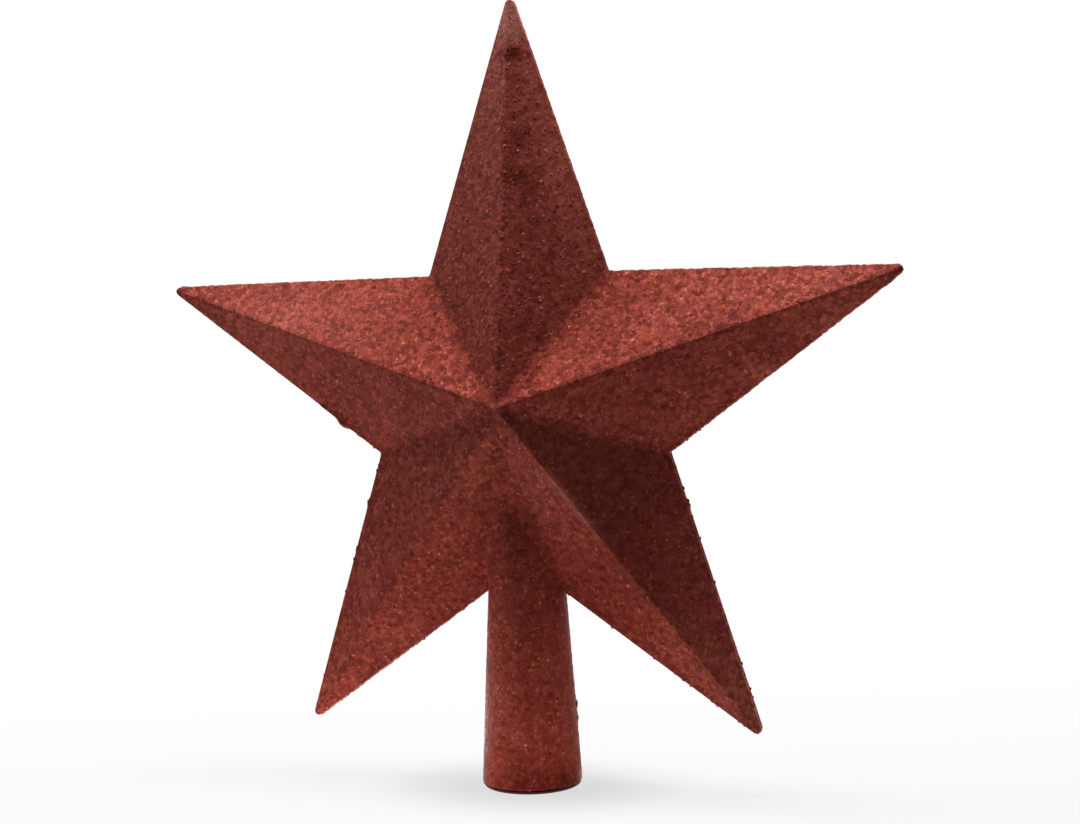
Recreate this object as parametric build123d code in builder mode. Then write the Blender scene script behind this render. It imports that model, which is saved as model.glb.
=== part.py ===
from build123d import *

import os
from math import cos, hypot, radians, sin, tan

# Christmas tree topper: a hollow five-armed star on a tapered socket tube, covered in glitter.
# Millimetres. The tube's axis is Z, its mouth is at z = 0, and the front of the star looks along -Y.

# Star, measured on the bare shells
arm_count = 5
star_radius = 98.0  # middle of the star to where the two edges of an arm would meet
notch_radius = 38.2  # middle of the star to the notch between two arms
star_rise = 18.75  # from the rim to the raised middle of each half
rim_height = 0.6  # upright edge of each half beside the seam
tip_rounding = 0.7  # blunts the points of the arms
star_height = 93.4  # middle of the star above the mouth of the tube

# Half shells
shell_wall = 1.6
rim_land = 3.6  # width of the flat faces that are glued together
hollow_tip_rounding = 0.8
tongue_setback = 1.8  # outside of the rim to the tongue
tongue_width = 0.9
tongue_height = 0.8
pin_circle_radius = 58.0
pin_radius = 1.6
pin_reach = 4.0  # past the seam
post_radius = 3.2
saddle_thickness = 1.8
saddle_width = 28.0

# Socket tube
tube_mouth_radius = 11.9  # outside of the bare tube at its mouth
tube_taper_angle = 3.31
tube_wall = 1.4
tube_insertion = 27.0  # from the lower notch to the closed end
tube_end_wall = 1.8
collar_thickness = 1.6
collar_lip = 1.4
mouth_rounding = 0.4

# Finish and fits
coat_thickness = 0.4
coat_setback = 0.6  # bare ring above the mouth
fit_clearance = 0.1
overrun = 2.0  # past the ends of what a cut goes through

# Places that follow from these
half_pitch = radians(180 / arm_count)
notch_x = notch_radius * sin(half_pitch)
notch_y = notch_radius * cos(half_pitch)
rim_apothem = star_radius * notch_x / hypot(notch_x, star_radius - notch_y)
half_depth = rim_height + star_rise
blank_height = half_depth + star_rise  # clears the slopes of every layer
tube_top = star_height - notch_radius + tube_insertion
collar_bottom = tube_top - collar_thickness
saddle_bottom = collar_bottom - saddle_thickness
tongue_inside = tongue_setback + tongue_width
front_plane = Plane(origin=(0, 0, star_height), x_dir=(1, 0, 0), z_dir=(0, -1, 0))
rear_plane = Plane(origin=(0, 0, star_height), x_dir=(-1, 0, 0), z_dir=(0, 1, 0))


def tube_radius(height):
    """Outside radius of the bare tube at a height above its mouth."""
    return tube_mouth_radius - height * tan(radians(tube_taper_angle))


def slope_plane(side):
    """Plane of the bare slope on one side (1 or -1) of the arm that points along +Y."""
    tip = Vector(0, star_radius, rim_height)
    along_rim = Vector(side * notch_x, notch_y, rim_height) - tip
    up_ridge = Vector(0, 0, half_depth) - tip
    outward = up_ridge.cross(along_rim) * side
    return Plane(origin=tip, x_dir=along_rim, z_dir=outward)


def half_star(slope_depth, rim_inset, tip_radius):
    """Half of the star on its seam, with the slopes sunk and the rim drawn in from the bare shell."""
    inset_share = 1 - rim_inset / rim_apothem
    notch = (notch_x * inset_share, notch_y * inset_share)
    far_notch = (-notch_x * inset_share, notch_y * inset_share)
    with BuildPart() as arm:
        with BuildSketch() as kite:
            with BuildLine():
                Polyline((0, 0), notch, (0, star_radius * inset_share), far_notch, close=True)
            make_face()
            fillet(kite.vertices().sort_by(Axis.Y)[-1], tip_radius)
        extrude(amount=blank_height)
        for side in (1, -1):
            split(bisect_by=slope_plane(side).offset(-slope_depth), keep=Keep.BOTTOM)
    with BuildPart() as star:
        with PolarLocations(0, arm_count):
            add(arm.part)
    return star.part


def star_corners(rim_inset):
    """Corners of the star's outline, tips and notches in turn, drawn in from the bare rim."""
    inset_share = 1 - rim_inset / rim_apothem
    corners = []
    for corner in range(2 * arm_count):
        radius = inset_share * (notch_radius if corner % 2 else star_radius)
        angle = corner * half_pitch
        corners.append((radius * sin(angle), radius * cos(angle)))
    return corners


def rim_ring(outer_inset, inner_inset):
    """Star-shaped ring between two distances from the bare rim."""
    with BuildSketch() as ring:
        for rim_inset, mode in ((outer_inset, Mode.ADD), (inner_inset, Mode.SUBTRACT)):
            with BuildLine():
                Polyline(*star_corners(rim_inset), close=True)
            make_face(mode=mode)
    return ring.sketch


def tube_profile(bottom, top, growth):
    """Half section of everything inside the tube's outer surface, grown outwards."""
    with BuildSketch() as profile:
        with BuildLine():
            Polyline(
                (0, bottom),
                (tube_radius(bottom) + growth, bottom),
                (tube_radius(top) + growth, top),
                (0, top),
                close=True,
            )
        make_face()
    return profile.sketch


shell_body = half_star(0, 0, tip_rounding)
hollow_body = half_star(shell_wall, rim_land, hollow_tip_rounding)
coated_body = half_star(-coat_thickness, -coat_thickness, tip_rounding + coat_thickness)
tongue_ring = rim_ring(tongue_setback, tongue_inside)
groove_ring = rim_ring(tongue_setback - fit_clearance, tongue_inside + fit_clearance)
tube_passage = tube_profile(-overrun, collar_bottom + overrun, fit_clearance)
tube_core = tube_profile(-overrun, collar_bottom + overrun, 0)
coated_tube = tube_profile(coat_setback, collar_bottom, coat_thickness)

# Posts for the pins and the cross wall that the tube lies in, trimmed by the outside of the shell
with BuildPart() as supports:
    with BuildSketch():
        with PolarLocations(pin_circle_radius, arm_count, start_angle=90):
            Circle(post_radius)
        with Locations((0, saddle_bottom - star_height)):
            Rectangle(saddle_width, saddle_thickness, align=(Align.CENTER, Align.MIN))
    extrude(amount=half_depth)
    add(shell_body, mode=Mode.INTERSECT)

# Half shell before its joint is added, the same for front and rear
with BuildPart() as shell_blank:
    add(shell_body)
    add(hollow_body, mode=Mode.SUBTRACT)
    add(supports.part)

# Front half: a groove round the rim and a blind socket for each pin
with BuildPart(front_plane) as front_shell:
    add(shell_blank.part)
    with BuildSketch(front_plane):
        add(groove_ring)
    extrude(amount=tongue_height + fit_clearance, mode=Mode.SUBTRACT)
    with BuildSketch(front_plane):
        with PolarLocations(pin_circle_radius, arm_count, start_angle=90):
            Circle(pin_radius + fit_clearance)
    extrude(amount=pin_reach + fit_clearance, mode=Mode.SUBTRACT)
    with BuildSketch(Plane.XZ):
        add(tube_passage)
    revolve(axis=Axis.Z, mode=Mode.SUBTRACT)
front_shell.part.label = "front_shell"

# Rear half: the tongue that fills the groove and a pin in each arm
with BuildPart(rear_plane) as rear_shell:
    add(shell_blank.part)
    with BuildSketch(rear_plane):
        add(tongue_ring)
    extrude(amount=-tongue_height)
    with BuildSketch(rear_plane):
        with PolarLocations(pin_circle_radius, arm_count, start_angle=90):
            Circle(pin_radius)
    extrude(amount=-pin_reach)
    with BuildSketch(Plane.XZ):
        add(tube_passage)
    revolve(axis=Axis.Z, mode=Mode.SUBTRACT)
rear_shell.part.label = "rear_shell"

# Socket tube: even wall, closed at the top, with a collar that sits on the two cross walls
with BuildPart() as socket_tube:
    with BuildSketch(Plane.XZ):
        with BuildLine():
            Polyline(
                (tube_mouth_radius - tube_wall, 0),
                (tube_mouth_radius, 0),
                (tube_radius(collar_bottom), collar_bottom),
                (tube_radius(collar_bottom) + collar_lip, collar_bottom),
                (tube_radius(collar_bottom) + collar_lip, tube_top),
                (0, tube_top),
                (0, tube_top - tube_end_wall),
                (tube_radius(tube_top - tube_end_wall) - tube_wall, tube_top - tube_end_wall),
                close=True,
            )
        make_face()
    revolve(axis=Axis.Z)
    fillet(socket_tube.faces().sort_by(Axis.Z)[0].edges(), mouth_rounding)
socket_tube.part.label = "socket_tube"

# Glitter in its glue on the front of the star, stopping at the tube
with BuildPart(front_plane) as front_glitter_coat:
    add(coated_body)
    add(shell_body, mode=Mode.SUBTRACT)
    with BuildSketch(Plane.XZ):
        add(tube_passage)
    revolve(axis=Axis.Z, mode=Mode.SUBTRACT)
front_glitter_coat.part.label = "front_glitter_coat"

# Glitter in its glue on the rear of the star, stopping at the tube
with BuildPart(rear_plane) as rear_glitter_coat:
    add(coated_body)
    add(shell_body, mode=Mode.SUBTRACT)
    with BuildSketch(Plane.XZ):
        add(tube_passage)
    revolve(axis=Axis.Z, mode=Mode.SUBTRACT)
rear_glitter_coat.part.label = "rear_glitter_coat"

# Glitter in its glue on the tube, up to where it enters the star
with BuildPart() as tube_glitter_coat:
    with BuildSketch(Plane.XZ):
        add(coated_tube)
    revolve(axis=Axis.Z)
    with BuildSketch(Plane.XZ):
        add(tube_core)
    revolve(axis=Axis.Z, mode=Mode.SUBTRACT)
    with Locations(front_plane, rear_plane):
        add(coated_body, mode=Mode.SUBTRACT)
tube_glitter_coat.part.label = "tube_glitter_coat"

os.makedirs("parts", exist_ok=True)
export_step(front_shell.part, "parts/front_shell.step")
export_step(rear_shell.part, "parts/rear_shell.step")
export_step(socket_tube.part, "parts/socket_tube.step")
export_step(front_glitter_coat.part, "parts/front_glitter_coat.step")
export_step(rear_glitter_coat.part, "parts/rear_glitter_coat.step")
export_step(tube_glitter_coat.part, "parts/tube_glitter_coat.step")
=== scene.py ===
from math import acos, cos, hypot, pi, radians, sin

import bpy
import numpy as np
from mathutils import Matrix, Vector
from mathutils.geometry import delaunay_2d_cdt


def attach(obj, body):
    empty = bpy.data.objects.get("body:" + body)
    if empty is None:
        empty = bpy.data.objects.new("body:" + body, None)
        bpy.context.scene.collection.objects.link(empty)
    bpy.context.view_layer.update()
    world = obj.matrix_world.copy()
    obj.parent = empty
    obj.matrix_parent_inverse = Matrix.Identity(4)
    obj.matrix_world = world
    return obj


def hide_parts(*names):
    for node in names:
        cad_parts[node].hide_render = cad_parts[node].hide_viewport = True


# Red glitter tree topper: a five-armed star on a tapered tube. Metres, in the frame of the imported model.
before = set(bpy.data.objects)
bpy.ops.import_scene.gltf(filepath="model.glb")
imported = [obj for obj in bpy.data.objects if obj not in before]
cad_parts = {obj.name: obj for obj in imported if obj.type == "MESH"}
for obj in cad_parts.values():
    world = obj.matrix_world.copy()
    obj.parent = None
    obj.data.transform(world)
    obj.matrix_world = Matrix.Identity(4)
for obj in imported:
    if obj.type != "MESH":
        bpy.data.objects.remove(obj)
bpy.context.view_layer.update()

# Glitter beds
random_seed = 25
grain = 0.00078  # distance between neighbouring corners of a bed
row_share = sin(radians(60))  # distance between its rows of corners, as a share of the grain
grain_shift = 0.33  # how far a corner strays sideways, as a share of the grain
grain_low = -0.00003  # lowest and highest corner of a bed, against the smooth coat
grain_high = 0.0
ridge_gap = 0.45  # corners stay this share of a grain away from a ridge
ridge_step_share = 0.7  # distance between the corners on a ridge, as a share of the grain
steep_limit = 0.5  # faces that look less than this share to the front get corners half a grain apart
merge_distance = 1e-9  # corners nearer than this are one
keep_inside = 1  # the triangulation's word for what lies inside the outline
tip_corner_count = 9  # round the blunt tip of an arm
rim_rows = ((0.5, 0.00012), (0.0, 0.00018))  # rounded edge: share of the rim's height, and how far it swells
rim_unevenness = (0.3, 1.7)  # how much that varies
bed_thickness = 0.0003
ridge_softness = 0.0004  # width over which two slopes run into each other
valley_softness = 0.0008
joint_softness = 0.0030
normal_step = grain / 10  # distance over which a slope is measured
tube_overlap = 0.0017  # the tube's coat goes this far up inside the star
outer_map_span = (0.01, 0.99)  # part of the colour map for the outside of a bed
inner_map_size = 0.24  # and for its inside
inner_map_corner = (0.01, 0.75)

# Loose flakes
star_flake_count = 6000
tube_flake_count = 1800
flake_sides = 6
flake_radius = 0.00038
flake_radius_spread = 0.00012
flake_thickness = 0.00004
flake_lift = 0.00002
flake_tilt = radians(4)
flake_map_radius = 0.4  # of a flake in its own square of the colour map
flake_map_centre = 0.5
seam_gap = 0.0010  # no loose flakes this near to the seam

# Tones of the grains, from 0 to 1
bed_tone = 0.5
tone_spread = 0.075  # how much the grains of a bed differ
tone_share = 0.5  # how far a grain shares its tone with its neighbours
flake_tone = 0.53
flake_tone_spread = 0.13
painted_glint_share = 0.025  # share of the flakes given a painted glint: a lighter, paler tone
painted_glint_tone = 0.84
painted_glint_paleness = 0.2
tone_colours = (
    (0.05, (0.11, 0.0155, 0.0098)),  # darkest, lightest and middle: tone and colour
    (0.95, (0.62, 0.157, 0.111)),
    (0.5, (0.30, 0.054, 0.037)),
)
hue_scale = 240  # small clouds of warmer and cooler red
hue_tints = ((1.0, 1.05, 0.92), (0.99, 0.95, 1.10))
depth_scale = 55  # larger clouds of deeper and lighter red
depth_tints = ((0.95, 0.94, 0.94), (1.05, 1.06, 1.06))
tint_span = (0.34, 0.66)  # part of a cloud over which the tint changes
tint_detail = 3

# Finish of the grains
cell_size = 0.00110  # width of a grain
cell_shake = 0.0012  # how ragged its outline is
cell_shake_size = 0.0007
cell_shake_detail = 1
cell_colours = (
    (0.0, (0.52, 0.48, 0.48)),  # darkest, lightest and middle grains: a number from 0 to 1 and its tint
    (1.0, (1.46, 1.58, 1.58)),
    (0.55, (1.15, 1.14, 1.14)),
)
cell_gap = 0.22  # width of the shade between grains, as a share of a grain
cell_gap_tone = 0.76
cell_middle_tone = 1.12
grain_dome = 0.0001  # height of a grain's bump
grain_dome_strength = 0.3
star_coarseness = (0.74, 0.28)  # how much the grains stand out, and how much less on faces that look right: a painted sparkle, calmer in shade
tube_coarseness = (0.56, 0.0)
painted_sparkle_gain = 0.4  # painted sparkle: how much more on faces that look up to the top lamp
painted_sparkle_start = 0.1
right_start = 0.4  # faces look right from here on
right_fade = 0.1
glitter_roughness = (0.3, 0.6)
glitter_specular = 0.035
glitter_specular_tint = (1.0, 0.35, 0.28)

# Painted light and shade on the front of the coat, with some uneven places: x, height, half width, half
# height and how much lighter
painted_light_and_uneven_marks = (
    (0.0012, 0.1769, 0.0030, 0.0016, -0.46),  # dark nick under the cap of the top arm: painted shadow under the clots there
    (0.0032, 0.1562, 0.0024, 0.0023, -0.20),  # blotches beside the top ridge
    (0.0034, 0.1478, 0.0030, 0.0019, -0.26),
    (0.0022, 0.1710, 0.0018, 0.0020, -0.12),
    (0.0012, 0.1320, 0.0022, 0.0200, 0.06),  # top ridge
    (0.0000, 0.1750, 0.0120, 0.0180, 0.10),  # upper part of the top arm
    (0.0060, 0.1740, 0.0030, 0.0090, 0.19),  # painted light along its right edge
    (0.0125, 0.1560, 0.0045, 0.0120, 0.20),
    (0.0165, 0.1400, 0.0060, 0.0180, 0.13),
    (0.0000, 0.1130, 0.0120, 0.0090, -0.04),  # its foot
    (0.0190, 0.1095, 0.0080, 0.0070, -0.10),  # painted shade on the feet of the upper arms
    (0.0285, 0.1200, 0.0060, 0.0040, -0.17),
    (-0.0240, 0.1130, 0.0080, 0.0075, -0.15),
    (-0.0235, 0.1212, 0.0045, 0.0030, -0.14),
    (0.0720, 0.1205, 0.0240, 0.0065, 0.10),  # their outer halves
    (-0.0680, 0.1160, 0.0280, 0.0085, 0.06),
    (0.0925, 0.1238, 0.0014, 0.0014, -0.40),  # their bare tips
    (-0.0925, 0.1238, 0.0016, 0.0016, -0.30),
    (0.0450, 0.0890, 0.0070, 0.0045, 0.09),  # painted light from the floor on the lower edge of the right arm
    (0.0600, 0.0985, 0.0100, 0.0050, 0.13),
    (0.0790, 0.1100, 0.0090, 0.0050, 0.19),
    (0.0010, 0.0785, 0.0185, 0.0115, 0.16),  # painted light and shade below the middle of the star
    (0.0012, 0.0785, 0.0055, 0.0065, -0.17),
    (-0.0190, 0.0660, 0.0080, 0.0090, 0.05),
    (-0.0072, 0.0605, 0.0020, 0.0090, -0.16),
    (-0.0420, 0.0500, 0.0070, 0.0140, 0.06),
    (-0.0290, 0.0350, 0.0100, 0.0045, 0.12),
    (0.0220, 0.0470, 0.0090, 0.0100, -0.10),  # lower right arm, from the tube outwards
    (0.0385, 0.0610, 0.0070, 0.0070, 0.09),
    (0.0440, 0.0350, 0.0100, 0.0140, 0.11),
    (0.0545, 0.0200, 0.0090, 0.0110, 0.31),
    (0.0000, 0.0600, 0.0040, 0.0100, -0.08),  # painted shade where the tube runs into the valley
    (0.0000, 0.0680, 0.0085, 0.0040, -0.15),
    (-0.0040, 0.0270, 0.0050, 0.0350, 0.12),  # painted light on the left side of the tube
    (-0.0106, 0.0130, 0.0018, 0.0220, -0.20),
    (0.0057, 0.0390, 0.0035, 0.0120, -0.05),  # its right side
    (0.0050, 0.0005, 0.0130, 0.0075, -0.38),  # painted shade at its mouth
    (0.0110, 0.0010, 0.0030, 0.0045, -0.20),
)
stripe_fade = 0.009  # length over which the ends of a stripe fade
painted_right_valley_shade = (0.0013, 0.0018, -0.004, 0.046)  # painted shade along the valleys beside the top arm: side, width, start and end
painted_left_valley_shade = (-0.0005, 0.0018, -0.004, 0.034)
painted_right_valley_shade_change = -0.23
painted_left_valley_shade_change = -0.14
painted_rim_shade = 0.32  # painted shade: how much darker the coat is along the rim of the star
painted_rim_shade_width = 0.0007
pale_colour = (0.62, 0.215, 0.175)
pale_marks = (
    (0.0005, 0.1866, 0.0050, 0.0060, 1.0),  # cap of the top arm, smoother glitter with a painted sheen
    (0.0012, 0.1769, 0.0030, 0.0018, -0.4),  # but not the nick under it
    (0.0000, 0.0932, 0.0013, 0.0014, 0.4),  # middle of the star
    (-0.0580, 0.1150, 0.0300, 0.0110, 0.10),  # top of the left arm
)
pale_speckle = (0.4, 1.6)  # how much that varies from grain to grain
pale_ridge_arm = 2  # counted clockwise from the top
pale_ridge = (0.0001, 0.0009, 0.015, 0.042)  # side, width, start and end of the pale line
pale_ridge_share = 0.5
# Clots of glue and glitter: place, radius and height
coat_lumps = (
    ((-0.0016, -0.0015, 0.1785), 0.0010, 0.0003),
    ((0.0013, -0.0016, 0.1787), 0.0011, 0.0004),
    ((-0.0470, 0.0000, 0.0889), 0.0017, 0.0010),
    ((-0.0407, 0.0000, 0.0690), 0.0010, 0.0008),
    ((0.0408, 0.0000, 0.0687), 0.0009, 0.0006),
    ((0.0106, 0.0036, 0.0193), 0.0010, 0.0005),
    ((0.0107, 0.0036, 0.0160), 0.0010, 0.0004),
)

# Moulded plastic
plastic_cloud_scale = 120
plastic_cloud_detail = 4
plastic_colours = ((0.3, (0.19, 0.020, 0.016)), (0.7, (0.29, 0.036, 0.030)))
plastic_roughness = (0.3, 0.5)

# Camera
image_width = 1080
sensor_width_mm = 36
focal_pixels = 1920.3
near_clip = 0.01
camera_place = (0.1484, -0.4416, 0.1192)
camera_yaw = radians(18.04)
camera_pitch = radians(3.446)
camera_roll = radians(-1.639)

# Studio
floor_radius = 3.0
floor_corner_count = 96
floor_bounce_colour = (0.15, 0.15, 0.15)  # for the light that it throws back
floor_colour = (0.44, 0.435, 0.43)
floor_depth = (-0.31, 0.95, 0)  # across the floor, away from the viewer
white_depth = 0.13  # the floor is plain white this far behind the tube
grey_depth = -0.03
white_share = 0.85  # share of plain white in front of the tube
contact_share = 0.69  # and close to it
contact_start = 0.012
contact_end = 0.045
far_start = 0.22  # further off the floor is plain white on every side
far_end = 0.55
light_target = (0, 0, 0.1)
# Name, place, size and level
softboxes = (
    ("top_softbox", (0.02, 0.04, 1.05), 0.25, 2.00),
    ("left_softbox", (-0.80, 0.05, 0.55), 0.2, 0.27),
)
# Name, place, radius, level and colour
bounces = (
    ("near_bounce", (0, -0.03, 0.001), 0.045, 1.32, (1.0, 0.82, 0.76)),
    ("left_bounce", (-0.12, -0.025, 0.001), 0.05, 2.1, (1.0, 0.92, 0.90)),
    ("left_rear_bounce", (-0.08, 0.03, 0.001), 0.05, 3.6, (1.0, 0.92, 0.90)),
    ("right_bounce", (0.14, 0.02, 0.001), 0.05, 4.5, (1.0, 0.92, 0.90)),
)


# Sizes of the coated star and tube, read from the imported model

arm_count = 5
arm_pitch = 2 * pi / arm_count
star_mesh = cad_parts["front_glitter_coat"].data
tube_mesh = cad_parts["tube_glitter_coat"].data
apex = min((vertex.co for vertex in star_mesh.vertices), key=lambda place: place.y)
star_height = apex.z
half_depth = -apex.y


def in_top_arm(place):
    """True right of the middle line of the top arm, and nearer to that arm than to its neighbour."""
    return 0 < place.x < (place.z - star_height) * np.tan(arm_pitch / 2)


top_faces = [face for face in star_mesh.polygons if in_top_arm(face.center)]
top_slope = max(top_faces, key=lambda face: face.area)
slope_lean = hypot(top_slope.normal.x, top_slope.normal.z)
slope = slope_lean / -top_slope.normal.y
edge_along = top_slope.normal.z / slope_lean  # direction square to the edge of an arm
edge_across = top_slope.normal.x / slope_lean
edge_distance = max(
    edge_along * (vertex.co.z - star_height) + edge_across * vertex.co.x
    for vertex in star_mesh.vertices
    if in_top_arm(vertex.co)
)
sharp_radius = edge_distance / edge_along
tip_reach = max(vertex.co.z for vertex in star_mesh.vertices) - star_height
tip_rounding = (sharp_radius - tip_reach) / (1 / edge_along - 1)
notch_radius = edge_distance / (edge_along * cos(arm_pitch / 2) + edge_across * sin(arm_pitch / 2))

tube_bottom = min(vertex.co.z for vertex in tube_mesh.vertices)
tube_start = max(hypot(v.co.x, v.co.y) for v in tube_mesh.vertices if v.co.z < tube_bottom + grain)
tube_peak = max((vertex.co for vertex in tube_mesh.vertices), key=lambda place: place.z)
tube_taper = (tube_start - hypot(tube_peak.x, tube_peak.y)) / (tube_peak.z - tube_bottom)


def tube_radius(height):
    """Outside radius of the coated tube at a height above the mouth."""
    return tube_start - tube_taper * (height - tube_bottom)


# Smooth shape under the glitter


def bridge(one, other, width):
    """What rounds the corner between two surfaces whose heights differ by less than width."""
    return np.maximum(width - np.abs(one - other), 0) ** 2 / (4 * width)


def fold(x, up):
    """Place along and across the nearest arm, for a place in the plane of the star."""
    angle = np.arctan2(x, up)
    off_axis = angle - np.round(angle / arm_pitch) * arm_pitch
    radius = np.hypot(x, up)
    return radius * np.cos(off_axis), radius * np.sin(off_axis)


def roof(along, across):
    """Height of one arm, with its two slopes and a softened ridge."""
    right = half_depth - slope * (edge_along * along + edge_across * across)
    left = half_depth - slope * (edge_along * along - edge_across * across)
    return np.minimum(right, left) - bridge(right, left, ridge_softness)


def star_rise(x, up):
    """Height of the star's face above the seam."""
    along, across = fold(x, up)
    across = np.abs(across)
    next_along = along * cos(arm_pitch) + across * sin(arm_pitch)
    next_across = across * cos(arm_pitch) - along * sin(arm_pitch)
    own = roof(along, across)
    neighbour = roof(next_along, next_across)
    return np.maximum(own, neighbour) + bridge(own, neighbour, valley_softness)


def skin_rise(x, up):
    """Height above the seam of the star's face together with the tube that shows through its lower valley."""
    star = star_rise(x, up)
    radius = tube_radius(up + star_height)
    tube = np.sqrt(np.maximum(radius**2 - x**2, 0))
    joined = np.maximum(star, tube) + bridge(star, tube, joint_softness)
    return np.where(up < 0, joined, star)


def skin_normal(x, up):
    """Outward direction of the front skin."""
    across = (skin_rise(x + normal_step, up) - skin_rise(x - normal_step, up)) / (2 * normal_step)
    upward = (skin_rise(x, up + normal_step) - skin_rise(x, up - normal_step)) / (2 * normal_step)
    normal = np.column_stack([-across, -np.ones_like(x), -upward])
    return normal / np.linalg.norm(normal, axis=1)[:, None]


# Meshes


def star_outline():
    """Evenly spaced places round the rim of the star, clockwise from the top, in the plane of the seam."""
    tip_centre = sharp_radius - tip_rounding / edge_along
    corners = []
    for arm in range(arm_count):
        axis = arm * arm_pitch
        for turn in np.linspace(-acos(edge_along), acos(edge_along), tip_corner_count):
            along = tip_centre + tip_rounding * cos(turn)
            across = tip_rounding * sin(turn)
            corners.append((along * sin(axis) + across * cos(axis), along * cos(axis) - across * sin(axis)))
        notch = axis + arm_pitch / 2
        corners.append((notch_radius * sin(notch), notch_radius * cos(notch)))
    corners = np.array(corners + corners[:1])
    travelled = np.append(0, np.cumsum(np.linalg.norm(np.diff(corners, axis=0), axis=1)))
    stations = np.linspace(0, travelled[-1], round(travelled[-1] / grain), endpoint=False)
    return np.column_stack([np.interp(stations, travelled, corners[:, axis]) for axis in (0, 1)])


def lattice(spacing, rng):
    """Scattered places inside the star's outline, about one spacing apart."""
    columns = np.arange(-sharp_radius, sharp_radius, spacing)
    rows = np.arange(-sharp_radius, sharp_radius, spacing * row_share)
    x, up = np.meshgrid(columns, rows)
    x[1::2] += spacing / 2
    places = np.column_stack([x.ravel(), up.ravel()])
    places += rng.uniform(-grain_shift, grain_shift, places.shape) * spacing
    along, across = fold(*places.T)
    inset = edge_distance - edge_along * along - edge_across * np.abs(across)
    return places[(inset > grain / 2) & (np.abs(across) > grain * ridge_gap)]


def ridge_places():
    """Places in a row along the ridge of every arm, with the middle of the star only once."""
    along = np.arange(0, tip_reach - grain / 2, grain * ridge_step_share)
    rows = []
    for arm in range(arm_count):
        axis = arm * arm_pitch
        rows.append(np.column_stack([along * sin(axis), along * cos(axis)]))
        along = along[along > 0]
    return np.concatenate(rows)


def triangles_inside(places, rim_count):
    """Triangles between places, of which the first ones run clockwise round the rim."""
    rim = list(range(rim_count))[::-1]
    cut = delaunay_2d_cdt([Vector(place) for place in places], [], [rim], keep_inside, merge_distance)
    source = np.array([sources[0] for sources in cut[3]])
    return source[np.array(cut[2])]


def add_edge(skin, outline, rim_rise, rng):
    """Skin with a rounded edge from the slopes to the seam, left out where the tube covers it."""
    points, normals, faces, colour_places = skin
    rim_count = len(outline)
    ring = np.arange(rim_count)
    along_rim = np.roll(outline, -1, axis=0) - np.roll(outline, 1, axis=0)
    outward = np.column_stack([-along_rim[:, 1], along_rim[:, 0]])
    outward /= np.linalg.norm(outward, axis=1)[:, None]
    under_tube = (outline[:, 1] < 0) & (np.abs(outline[:, 0]) < tube_radius(outline[:, 1] + star_height))
    shown = ring[~(under_tube | np.roll(under_tube, -1))]
    after = (shown + 1) % rim_count
    previous = ring
    unevenness = rng.uniform(*rim_unevenness, (rim_count, 1))
    for rise_share, swell in rim_rows:
        row = len(points) + ring
        edge = outline + outward * swell * unevenness
        edge_points = np.column_stack([edge[:, 0], -rim_rise * rise_share, edge[:, 1] + star_height])
        edge_normals = np.column_stack([outward[:, 0], -np.full(rim_count, rise_share), outward[:, 1]])
        edge_normals /= np.linalg.norm(edge_normals, axis=1)[:, None]
        points = np.concatenate([points, edge_points])
        normals = np.concatenate([normals, edge_normals])
        spread = edge_points[:, 1:2] + rim_rise[:, None]
        colour_places = np.concatenate([colour_places, outline + outward * spread])
        lower = np.column_stack([previous[shown], previous[after], row[after]])
        upper = np.column_stack([previous[shown], row[after], row[shown]])
        faces = np.concatenate([faces, lower, upper])
        previous = row
    return points, normals, faces, colour_places


def star_skin(rng):
    """Front half of the star as points, their outward directions, triangles and places on the colour map."""
    outline = star_outline()
    fine = lattice(grain / 2, rng)
    steep = np.abs(skin_normal(*fine.T)[:, 1]) < steep_limit
    flat = lattice(grain, rng)
    gentle = np.abs(skin_normal(*flat.T)[:, 1]) >= steep_limit
    places = np.concatenate([outline, ridge_places(), flat[gentle], fine[steep]])
    rise = skin_rise(*places.T)
    points = np.column_stack([places[:, 0], -rise, places[:, 1] + star_height])
    face = points, skin_normal(*places.T), triangles_inside(places, len(outline)), places
    return add_edge(face, outline, rise[: len(outline)], rng)


def tube_skin(rng):
    """Coat of the tube as points, their outward directions, triangles and places on the colour map."""
    top = star_height - notch_radius + tube_overlap
    columns = round(2 * pi * tube_start / grain)
    rows = round((top - tube_bottom) / (grain * row_share))
    column, row = np.meshgrid(np.arange(columns), np.arange(rows + 1))
    shift = rng.uniform(-grain_shift, grain_shift, (2, rows + 1, columns))
    shift[1, 0] = 0
    angle = 2 * pi * (column + row % 2 / 2 + shift[0]) / columns
    height = tube_bottom + (top - tube_bottom) * (row + shift[1]) / rows
    rounding = np.maximum(bed_thickness - (height - tube_bottom), 0) ** 2 / bed_thickness
    radius = tube_radius(height) - rounding
    points = np.stack([radius * np.sin(angle), -radius * np.cos(angle), height], axis=-1).reshape(-1, 3)
    normals = np.stack([np.sin(angle), -np.cos(angle), np.zeros_like(angle)], axis=-1).reshape(-1, 3)
    colour_places = np.stack([tube_start * angle, height], axis=-1).reshape(-1, 2)
    here = (row[:-1] * columns + column[:-1]).ravel()
    beside = (row[:-1] * columns + (column[:-1] + 1) % columns).ravel()
    odd = (row[:-1] % 2 == 1).ravel()
    above = here + columns
    above_beside = beside + columns
    lower = np.where(
        odd[:, None],
        np.column_stack([here, beside, above_beside]),
        np.column_stack([here, beside, above]),
    )
    upper = np.where(
        odd[:, None],
        np.column_stack([here, above_beside, above]),
        np.column_stack([beside, above_beside, above]),
    )
    return points, normals, np.concatenate([lower, upper]), colour_places


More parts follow.
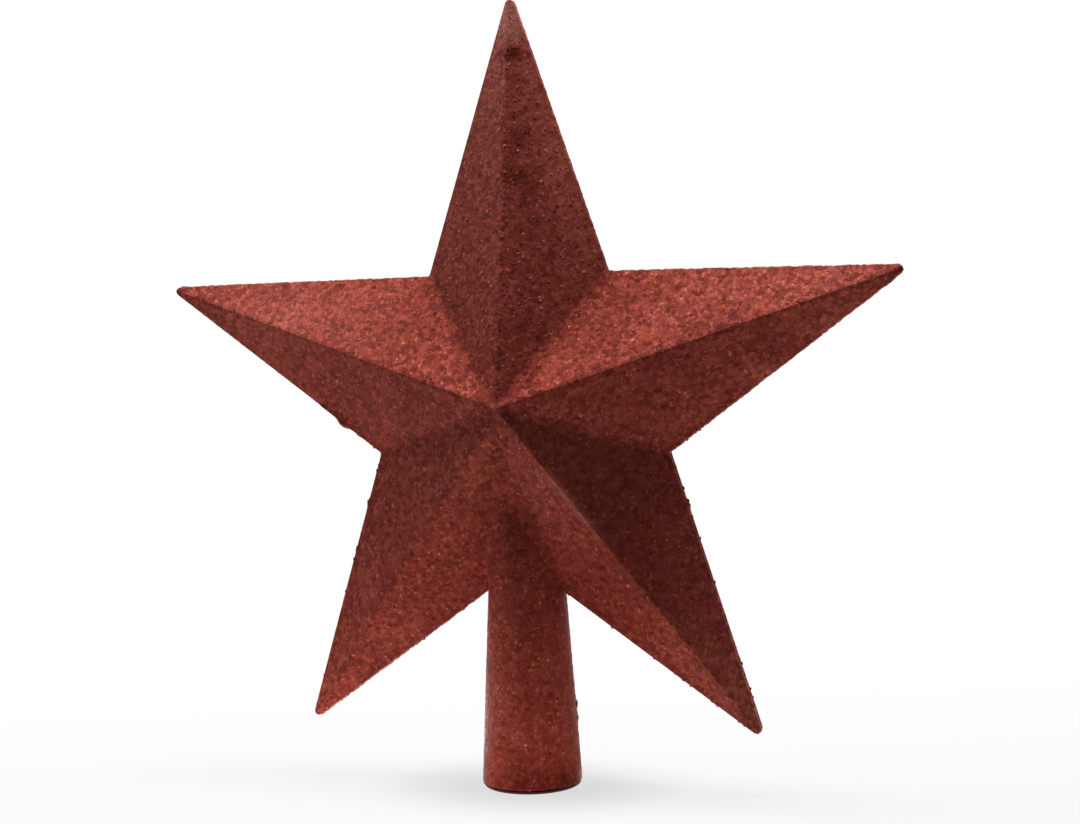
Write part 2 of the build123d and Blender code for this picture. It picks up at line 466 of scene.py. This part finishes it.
def close_skin(outer, inner, faces):
    """Closed sheet between an outer and an inner skin that share their triangles."""
    count = len(outer)
    edges = np.concatenate([faces[:, [0, 1]], faces[:, [1, 2]], faces[:, [2, 0]]])
    keys = np.sort(edges, axis=1) @ np.array([count, 1])
    _, first, uses = np.unique(keys, return_index=True, return_counts=True)
    start, end = edges[first[uses == 1]].T
    sides = np.concatenate(
        [np.column_stack([end, start, start + count]), np.column_stack([end, start + count, end + count])]
    )
    return np.concatenate([outer, inner]), faces[:, ::-1] + count, sides


def make_mesh(name, points, faces, finish, colour_places):
    """Mesh object with the finish of each face and a place on the colour map for each corner."""
    mesh = bpy.data.meshes.new(name)
    mesh.from_pydata(points.tolist(), [], faces)
    for quality, values in finish.items():
        mesh.attributes.new(quality, "FLOAT", "FACE").data.foreach_set("value", values.astype(np.float32))
    colour_map = mesh.uv_layers.new(name="OFBake")
    colour_map.data.foreach_set("uv", colour_places.astype(np.float32).ravel())
    piece = bpy.data.objects.new(name, mesh)
    bpy.context.scene.collection.objects.link(piece)
    return piece


def unit_square(places, low, high):
    """Places moved into a square that runs from low to high both ways."""
    start = places.min(axis=0)
    size = (places.max(axis=0) - start).max()
    return low + (places - start) / size * (high - low)


def mound(places, mark):
    """Height, from 0 to 1, of a soft mound round a place on the front of the star."""
    x, height, half_width, half_height = mark
    return np.exp(-(((places[:, 0] - x) / half_width) ** 2) - ((places[:, 2] - height) / half_height) ** 2)


def stripe(places, turn, side, width, start, end):
    """Strength, from 0 to 1, of a soft stripe that runs outwards from the middle of the star."""
    up = places[:, 2] - star_height
    along = places[:, 0] * sin(turn) + up * cos(turn)
    across = places[:, 0] * cos(turn) - up * sin(turn)
    strength = np.exp(-(((across - side) / width) ** 2))
    strength *= np.clip((along - start) / stripe_fade, 0, 1)
    return strength * np.clip((end - along) / stripe_fade, 0, 1)


def painted_light_and_tone_shift(places):
    """How much lighter or darker the coat is painted at places on the front: painted light and shade, with
    some uneven places.
    """
    shift = painted_right_valley_shade_change * stripe(places, arm_pitch / 2, *painted_right_valley_shade)
    shift += painted_left_valley_shade_change * stripe(places, -arm_pitch / 2, *painted_left_valley_shade)
    for *mark, change in painted_light_and_uneven_marks:
        shift += change * mound(places, mark)
    return np.where(places[:, 1] < 0, shift, 0)


def paleness(places):
    """How pale the coat is at places on the front: the cap of the top arm with its painted sheen, the middle
    and a pale line along one ridge.
    """
    pale = pale_ridge_share * stripe(places, pale_ridge_arm * arm_pitch, *pale_ridge)
    for *mark, share in pale_marks:
        pale += share * mound(places, mark)
    return np.where(places[:, 1] < 0, np.minimum(pale, 1), 0)


def lump_height(places):
    """How far small clots of glue and glitter raise the coat."""
    height = np.zeros(len(places))
    for centre, radius, rise in coat_lumps:
        height += rise * np.exp(-(np.linalg.norm(places - np.array(centre), axis=1) / radius) ** 2)
    return height


def coarseness(facing, plain, calm):
    """How much the grains stand out, as a painted sparkle: more on faces that look up to the lamp, and less
    on those that look right into shade.
    """
    painted_sparkle = painted_sparkle_gain * np.maximum(facing[:, 2] - painted_sparkle_start, 0)
    to_right = np.clip((facing[:, 0] - right_start) / right_fade, 0, 1)
    return np.clip(plain + painted_sparkle - calm * to_right, 0, 1)


def grain_tones(faces, corner_count, rng):
    """Tone of each face, round 0, partly its own and partly shared round each corner."""
    own = rng.normal(0, 1, len(faces))
    shared = rng.normal(0, 1, corner_count)[faces].sum(axis=1) / np.sqrt(3)
    return tone_spread * (tone_share * shared + (1 - tone_share) * own)


def make_bed(name, skin, coarse, painted_edge_shade, rng):
    """Rough closed sheet of small flat grains on a smooth skin, returned with its rough points."""
    points, normals, faces, colour_places = skin
    raised = rng.uniform(grain_low, grain_high, len(points)) + lump_height(points)
    rough = points + normals * raised[:, None]
    whole, inner_faces, sides = close_skin(rough, points - normals * bed_thickness, faces)
    outer_map = unit_square(colour_places, *outer_map_span)
    inner_map = unit_square(colour_places, 0, inner_map_size) + np.array(inner_map_corner)
    corner_map = np.concatenate(
        [outer_map[faces], inner_map[inner_faces - len(points)], outer_map[sides % len(points)]]
    )
    all_faces = np.concatenate([faces, inner_faces, sides])
    middles = whole[all_faces].mean(axis=1)
    tones = bed_tone + grain_tones(all_faces % len(points), len(points), rng) + painted_light_and_tone_shift(middles)
    # painted shade along the rim
    tones -= painted_edge_shade * np.exp(-((middles[:, 1] / painted_rim_shade_width) ** 2))
    finish = {
        "tone": np.clip(tones, 0, 1),
        "gloss": rng.uniform(0, 1, len(all_faces)),
        "pale": np.clip(paleness(middles) * rng.uniform(*pale_speckle, len(all_faces)), 0, 1),
        "coarseness": coarseness(normals[all_faces % len(points)].mean(axis=1), *coarse),
    }
    piece = make_mesh(name, whole, all_faces.tolist(), finish, corner_map.reshape(-1, 2))
    return piece, rough


def scatter_flakes(skin, rough, count, rng):
    """Places and outward directions of loose flakes on a bed."""
    _, normals, faces, _ = skin
    corners = rough[faces]
    areas = np.linalg.norm(np.cross(corners[:, 1] - corners[:, 0], corners[:, 2] - corners[:, 0]), axis=1)
    areas[np.abs(corners[:, :, 1].mean(axis=1)) < seam_gap] = 0
    chosen = rng.choice(len(faces), count, p=areas / areas.sum())
    facing = normals[faces[chosen]].mean(axis=1) + rng.normal(0, np.tan(flake_tilt), (count, 3))
    return corners[chosen].mean(axis=1), facing


def flake_prisms(count, turns):
    """Faces of flakes, each a ring of corners above another, with places on the colour map."""
    ring = range(flake_sides)
    corner_count = 2 * flake_sides
    shape = [tuple(ring), tuple(range(corner_count - 1, flake_sides - 1, -1))]
    for corner in ring:
        after = (corner + 1) % flake_sides
        shape.append((corner, corner + flake_sides, after + flake_sides, after))
    faces = []
    for flake in range(count):
        faces += [[corner_count * flake + corner for corner in face] for face in shape]

    cells = int(np.ceil(np.sqrt(count)))
    cell = np.column_stack([np.arange(count) % cells, np.arange(count) // cells])
    hexagon = np.column_stack([np.cos(turns), np.sin(turns)]) * flake_map_radius + flake_map_centre
    one_map = np.concatenate([hexagon[np.array(face) % flake_sides] for face in shape])
    whole_map = ((cell[:, None] + one_map) / cells).reshape(-1, 2)
    return faces, whole_map, len(shape)


def make_flakes(name, centres, facing, coarse, rng):
    """Loose six-sided flakes at given places, as one mesh of closed thin prisms."""
    count = len(centres)
    facing = facing / np.linalg.norm(facing, axis=1)[:, None]
    side = np.cross(facing, rng.normal(0, 1, (count, 3)))
    side /= np.linalg.norm(side, axis=1)[:, None]
    other_side = np.cross(facing, side)
    radii = flake_radius + rng.uniform(-1, 1, count) * flake_radius_spread
    turns = np.arange(flake_sides) * 2 * pi / flake_sides
    ring = side[:, None] * np.cos(turns)[:, None] + other_side[:, None] * np.sin(turns)[:, None]
    ring = centres[:, None] + facing[:, None] * flake_lift + ring * radii[:, None, None]
    lower_ring = ring - facing[:, None] * flake_thickness
    points = np.concatenate([ring, lower_ring], axis=1).reshape(-1, 3)
    faces, whole_map, face_count = flake_prisms(count, turns)

    tones = np.clip(rng.normal(flake_tone, flake_tone_spread, count) + painted_light_and_tone_shift(centres), 0, 1)
    # painted glints on some flakes
    painted_glints = rng.random(count) < painted_glint_share
    tones[painted_glints] = painted_glint_tone
    pale = np.where(painted_glints, painted_glint_paleness, paleness(centres))
    finish = {
        "tone": np.repeat(tones, face_count),
        "gloss": np.repeat(rng.uniform(0, 1, count), face_count),
        "pale": np.repeat(pale, face_count),
        "coarseness": np.repeat(coarseness(facing, *coarse), face_count),
    }
    return make_mesh(name, points, faces, finish, whole_map)


# Materials


def new_material(name):
    """Empty node material with its nodes, its links and its main shader."""
    material = bpy.data.materials.new(name)
    material.use_nodes = True
    nodes = material.node_tree.nodes
    return material, nodes, material.node_tree.links, nodes["Principled BSDF"]


def colour_ramp(nodes, links, value, lowest, highest, *between):
    """Colour that follows a value through stops, each a value and a colour."""
    ramp = nodes.new("ShaderNodeValToRGB")
    stops = ramp.color_ramp.elements
    for stop, (position, colour) in zip(stops, (lowest, highest)):
        stop.position = position
        stop.color = (*colour, 1)
    for position, colour in between:
        stops.new(position).color = (*colour, 1)
    links.new(value, ramp.inputs["Fac"])
    return ramp.outputs["Color"]


def value_range(nodes, links, value, low, high):
    """Value from 0 to 1 moved into another range."""
    node = nodes.new("ShaderNodeMapRange")
    node.inputs["To Min"].default_value = low
    node.inputs["To Max"].default_value = high
    links.new(value, node.inputs["Value"])
    return node.outputs["Result"]


def smooth_range(nodes, links, value, start, end):
    """Node that goes smoothly from 0 to 1 while a value goes from start to end."""
    node = nodes.new("ShaderNodeMapRange")
    node.interpolation_type = "SMOOTHSTEP"
    node.inputs["From Min"].default_value = start
    node.inputs["From Max"].default_value = end
    links.new(value, node.inputs["Value"])
    return node


def cloud_noise(nodes, links, place, scale, detail):
    """Soft clouds over the object."""
    cloud = nodes.new("ShaderNodeTexNoise")
    cloud.inputs["Scale"].default_value = scale
    cloud.inputs["Detail"].default_value = detail
    links.new(place.outputs["Object"], cloud.inputs["Vector"])
    return cloud


def tint_noise(nodes, links, place, scale, tints):
    """Slow change between two tints over the object."""
    cloud = cloud_noise(nodes, links, place, scale, tint_detail)
    return colour_ramp(nodes, links, cloud.outputs["Fac"], *zip(tint_span, tints))


def multiply(nodes, links, one, other, strength=None):
    """Product of two colours, the second at its full strength or at one that varies."""
    product = nodes.new("ShaderNodeMix")
    product.data_type = "RGBA"
    product.blend_type = "MULTIPLY"
    product.inputs["Factor"].default_value = 1
    if strength:
        links.new(strength, product.inputs["Factor"])
    links.new(one, product.inputs["A"])
    links.new(other, product.inputs["B"])
    return product.outputs["Result"]


def face_quality(nodes, quality):
    """Value that the faces of the glitter carry."""
    node = nodes.new("ShaderNodeAttribute")
    node.attribute_name = quality
    return node.outputs["Fac"]


def uneven_place(nodes, links, place):
    """Place on the object, shaken a little so that grains get ragged outlines."""
    cloud = cloud_noise(nodes, links, place, 1 / cell_shake_size, cell_shake_detail)
    shake = nodes.new("ShaderNodeVectorMath")
    shake.operation = "MULTIPLY_ADD"
    shake.inputs[1].default_value = (cell_shake, cell_shake, cell_shake)
    links.new(cloud.outputs["Color"], shake.inputs[0])
    links.new(place.outputs["Object"], shake.inputs[2])
    return shake.outputs["Vector"]


def grain_cells(nodes, links, place, feature):
    """Cells the size of a glitter grain."""
    cells = nodes.new("ShaderNodeTexVoronoi")
    cells.feature = feature
    cells.inputs["Scale"].default_value = 1 / cell_size
    links.new(place, cells.inputs["Vector"])
    return cells


def cell_tones(nodes, links, place):
    """Brightness of every grain, with darker gaps between them."""
    cells = grain_cells(nodes, links, place, "F1")
    channels = nodes.new("ShaderNodeSeparateColor")
    links.new(cells.outputs["Color"], channels.inputs["Color"])
    tint = colour_ramp(nodes, links, channels.outputs["Red"], *cell_colours)
    gaps = grain_cells(nodes, links, place, "DISTANCE_TO_EDGE")
    shade = smooth_range(nodes, links, gaps.outputs["Distance"], 0, cell_gap)
    shade.inputs["To Min"].default_value = cell_gap_tone
    shade.inputs["To Max"].default_value = cell_middle_tone
    return multiply(nodes, links, tint, shade.outputs["Result"])


def dome_grains(nodes, links, place, shader):
    """Bump that makes every grain slightly round."""
    gaps = grain_cells(nodes, links, place, "DISTANCE_TO_EDGE")
    bump = nodes.new("ShaderNodeBump")
    bump.inputs["Strength"].default_value = grain_dome_strength
    bump.inputs["Distance"].default_value = grain_dome
    links.new(gaps.outputs["Distance"], bump.inputs["Height"])
    links.new(bump.outputs["Normal"], shader.inputs["Normal"])


def glitter_material():
    """Red glitter: every grain has its own tone and gloss, over slow changes of tint and depth."""
    material, nodes, links, shader = new_material("red_glitter_finish")
    tone = colour_ramp(nodes, links, face_quality(nodes, "tone"), *tone_colours)
    place = nodes.new("ShaderNodeTexCoord")
    hue = tint_noise(nodes, links, place, hue_scale, hue_tints)
    depth = tint_noise(nodes, links, place, depth_scale, depth_tints)
    tinted = multiply(nodes, links, tone, hue)
    grain_place = uneven_place(nodes, links, place)
    cells = cell_tones(nodes, links, grain_place)
    grains = multiply(nodes, links, tinted, cells, face_quality(nodes, "coarseness"))
    worn = nodes.new("ShaderNodeMix")
    worn.data_type = "RGBA"
    worn.inputs["B"].default_value = (*pale_colour, 1)
    links.new(face_quality(nodes, "pale"), worn.inputs["Factor"])
    links.new(multiply(nodes, links, grains, depth), worn.inputs["A"])
    links.new(worn.outputs["Result"], shader.inputs["Base Color"])
    roughness = value_range(nodes, links, face_quality(nodes, "gloss"), *glitter_roughness)
    links.new(roughness, shader.inputs["Roughness"])
    dome_grains(nodes, links, grain_place, shader)
    shader.inputs["Specular IOR Level"].default_value = glitter_specular
    shader.inputs["Specular Tint"].default_value = (*glitter_specular_tint, 1)
    return material


def plastic_material():
    """Moulded red plastic with a fine uneven gloss."""
    material, nodes, links, shader = new_material("moulded_plastic_finish")
    place = nodes.new("ShaderNodeTexCoord")
    cloud = cloud_noise(nodes, links, place, plastic_cloud_scale, plastic_cloud_detail).outputs["Fac"]
    links.new(colour_ramp(nodes, links, cloud, *plastic_colours), shader.inputs["Base Color"])
    links.new(value_range(nodes, links, cloud, *plastic_roughness), shader.inputs["Roughness"])
    return material


# Studio


def seen_ray(nodes, links):
    """Socket that is 1 for rays from the camera, reflections and glass, and 0 for light on things."""
    path = nodes.new("ShaderNodeLightPath")
    mirrored = nodes.new("ShaderNodeMath")
    mirrored.operation = "ADD"
    seen = nodes.new("ShaderNodeMath")
    seen.operation = "ADD"
    seen.use_clamp = True
    links.new(path.outputs["Is Camera Ray"], mirrored.inputs[0])
    links.new(path.outputs["Is Glossy Ray"], mirrored.inputs[1])
    links.new(mirrored.outputs[0], seen.inputs[0])
    links.new(path.outputs["Is Transmission Ray"], seen.inputs[1])
    return seen.outputs[0]


def make_world():
    """Surroundings that are white to the eye and throw no light on things."""
    world = bpy.data.worlds.new("studio")
    bpy.context.scene.world = world
    world.use_nodes = True
    nodes = world.node_tree.nodes
    links = world.node_tree.links
    dark = nodes["Background"]
    dark.inputs["Strength"].default_value = 0
    white = nodes.new("ShaderNodeBackground")
    white.inputs["Color"].default_value = (1, 1, 1, 1)
    white.inputs["Strength"].default_value = 1
    mix = nodes.new("ShaderNodeMixShader")
    links.new(seen_ray(nodes, links), mix.inputs["Fac"])
    links.new(dark.outputs["Background"], mix.inputs[1])
    links.new(white.outputs["Background"], mix.inputs[2])
    links.new(mix.outputs["Shader"], nodes["World Output"].inputs["Surface"])


def white_share_of_floor(nodes, links):
    """Share of plain white in the floor: least close to the tube, and 1 far off and behind it."""
    place = nodes.new("ShaderNodeTexCoord").outputs["Object"]
    depth = nodes.new("ShaderNodeVectorMath")
    depth.operation = "DOT_PRODUCT"
    depth.inputs[1].default_value = floor_depth
    distance = nodes.new("ShaderNodeVectorMath")
    distance.operation = "LENGTH"
    links.new(place, depth.inputs[0])
    links.new(place, distance.inputs[0])
    contact = smooth_range(nodes, links, distance.outputs["Value"], contact_start, contact_end)
    contact.inputs["To Min"].default_value = contact_share
    contact.inputs["To Max"].default_value = white_share
    behind = smooth_range(nodes, links, depth.outputs["Value"], grey_depth, white_depth)
    links.new(contact.outputs["Result"], behind.inputs["To Min"])
    far = smooth_range(nodes, links, distance.outputs["Value"], far_start, far_end)
    whole = nodes.new("ShaderNodeMath")
    whole.operation = "MAXIMUM"
    links.new(behind.outputs["Result"], whole.inputs[0])
    links.new(far.outputs["Result"], whole.inputs[1])
    return whole.outputs["Value"]


def floor_material():
    """Pale matt floor that keeps the shadow near the tube and is plain white further off."""
    material, nodes, links, shader = new_material("floor")
    shader.inputs["Base Color"].default_value = (*floor_bounce_colour, 1)
    shader.inputs["Roughness"].default_value = 1
    shader.inputs["Specular IOR Level"].default_value = 0
    pale = nodes.new("ShaderNodeBsdfDiffuse")
    pale.inputs["Color"].default_value = (*floor_colour, 1)
    white = nodes.new("ShaderNodeEmission")
    white.inputs["Strength"].default_value = 1
    seen_mix = nodes.new("ShaderNodeMixShader")
    mix = nodes.new("ShaderNodeMixShader")
    links.new(white_share_of_floor(nodes, links), seen_mix.inputs["Fac"])
    links.new(pale.outputs["BSDF"], seen_mix.inputs[1])
    links.new(white.outputs["Emission"], seen_mix.inputs[2])
    links.new(seen_ray(nodes, links), mix.inputs["Fac"])
    links.new(shader.outputs["BSDF"], mix.inputs[1])
    links.new(seen_mix.outputs["Shader"], mix.inputs[2])
    links.new(mix.outputs["Shader"], nodes["Material Output"].inputs["Surface"])
    return material


def make_floor():
    """Round floor under the tube's mouth."""
    turns = np.linspace(0, 2 * pi, floor_corner_count, endpoint=False)
    rim = [(floor_radius * cos(turn), floor_radius * sin(turn), 0) for turn in turns]
    mesh = bpy.data.meshes.new("floor")
    mesh.from_pydata(rim, [], [list(range(len(rim)))])
    mesh.materials.append(floor_material())
    floor = bpy.data.objects.new("floor", mesh)
    bpy.context.scene.collection.objects.link(floor)


def make_softbox(name, place, size, level):
    """Square soft light that gives a plain white surface facing it at the target that brightness."""
    light = bpy.data.lights.new(name, "AREA")
    light.shape = "SQUARE"
    light.size = size
    reach = Vector(light_target) - Vector(place)
    light.energy = level * pi**2 * reach.length_squared
    lamp = bpy.data.objects.new(name, light)
    lamp.location = place
    lamp.rotation_euler = reach.to_track_quat("-Z", "Y").to_euler()
    lamp.visible_camera = False
    bpy.context.scene.collection.objects.link(lamp)


def make_bounce(name, place, radius, level, colour):
    """Round light that lies on the floor and shines up, as bright as a floor of that level."""
    light = bpy.data.lights.new(name, "AREA")
    light.color = colour
    light.shape = "DISK"
    light.size = 2 * radius
    light.energy = level * pi**2 * radius**2
    lamp = bpy.data.objects.new(name, light)
    lamp.location = place
    lamp.rotation_euler = (pi, 0, 0)
    lamp.visible_camera = False
    bpy.context.scene.collection.objects.link(lamp)


def make_lights():
    """Softbox above, a weak one on the left, and light thrown up by the floor round the tube."""
    for softbox in softboxes:
        make_softbox(*softbox)
    for bounce in bounces:
        make_bounce(*bounce)


def make_camera():
    """Camera at the photograph's place, from a fit of the star's corners."""
    data = bpy.data.cameras.new("camera")
    data.sensor_width = sensor_width_mm
    data.lens = focal_pixels / image_width * sensor_width_mm
    data.clip_start = near_clip
    camera = bpy.data.objects.new("camera", data)
    turn = Matrix.Rotation(camera_yaw, 4, "Z") @ Matrix.Rotation(pi / 2 - camera_pitch, 4, "X")
    turn = turn @ Matrix.Rotation(camera_roll, 4, "Z")
    camera.matrix_world = Matrix.Translation(camera_place) @ turn
    bpy.context.scene.collection.objects.link(camera)
    bpy.context.scene.camera = camera


# Putting the pieces together


def mirror_skin(skin):
    """The same skin on the other side of the seam."""
    points, normals, faces, colour_places = skin
    flip = np.array([1, -1, 1])
    return points * flip, normals * flip, faces[:, ::-1], colour_places


def dress(piece, material, *nodes):
    """Finishes a glitter piece and lets it stand for CAD nodes."""
    piece.data.materials.append(material)
    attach(piece, "root")
    if nodes:
        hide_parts(*nodes)


def make_glitter():
    """Beds and loose flakes on the front, the rear and the tube."""
    rng = np.random.default_rng(random_seed)
    material = glitter_material()
    skins = (
        ("front", star_skin(rng), star_coarseness, painted_rim_shade, star_flake_count),
        ("rear", mirror_skin(star_skin(rng)), star_coarseness, painted_rim_shade, star_flake_count),
        ("tube", tube_skin(rng), tube_coarseness, 0, tube_flake_count),
    )
    for side, skin, coarse, painted_edge_shade, flake_count in skins:
        bed, rough = make_bed(f"{side}_glitter_bed", skin, coarse, painted_edge_shade, rng)
        dress(bed, material, f"{side}_glitter_coat")
        places, facing = scatter_flakes(skin, rough, flake_count, rng)
        flakes = make_flakes(f"{side}_flakes", places, facing, coarse, rng)
        dress(flakes, material)


make_glitter()
plastic = plastic_material()
for node in ("front_shell", "rear_shell", "socket_tube"):
    for material_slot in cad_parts[node].material_slots:
        material_slot.material = plastic

make_world()
make_floor()
make_lights()
make_camera()
bpy.context.scene.view_settings.view_transform = "Standard"
